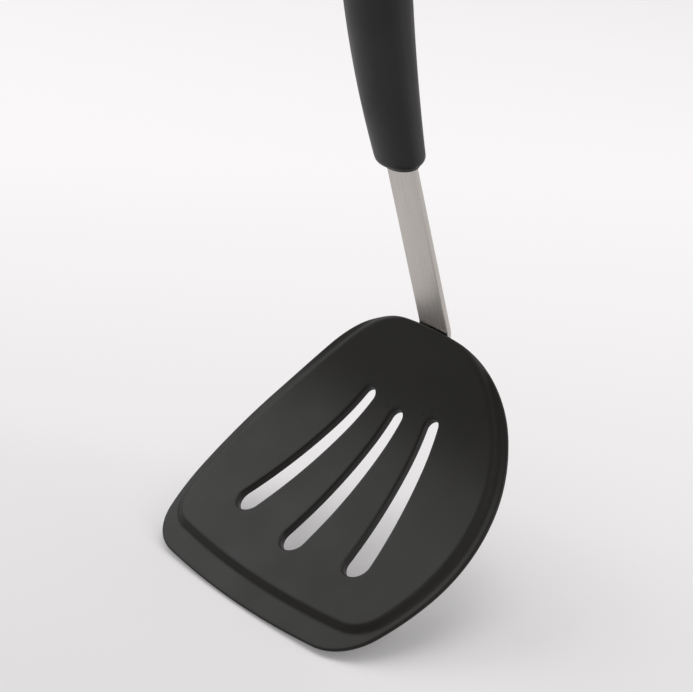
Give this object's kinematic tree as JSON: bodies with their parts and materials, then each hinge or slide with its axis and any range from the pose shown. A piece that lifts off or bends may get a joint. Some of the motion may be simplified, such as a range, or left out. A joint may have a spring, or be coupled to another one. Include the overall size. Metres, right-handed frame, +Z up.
{
  "type": "grill spatula",
  "caption": "Slotted grill turner: curved flexible silicone blade on a bent flat steel strap, with a soft oval handle and a hanging hole.",
  "frame": {"origin": "on the surface that the blade's front edge stands on, under the middle of the bounding box", "axes": "+Z up with the tool standing on its front edge, handle on top; +X across the blade, to the right of someone who faces the food side; -Y is the food side, which the blade curls towards"},
  "size_m": [0.12, 0.0862, 0.2676],
  "materials": {
    "blade_silicone": "satin moulded black silicone",
    "spring_steel": "plain rolled",
    "rivet_steel": "plain turned",
    "strap_steel": "brushed along its length",
    "core_polypropylene": "matt moulded",
    "grip_elastomer": "soft matt moulded black elastomer"
  },
  "bodies": {
    "root": {"blade_skin": "blade_silicone", "blade_plate": "spring_steel", "toe_rivets": "rivet_steel", "shaft": "strap_steel", "handle_core": "core_polypropylene", "handle_grip": "grip_elastomer"}
  },
  "joints": []
}
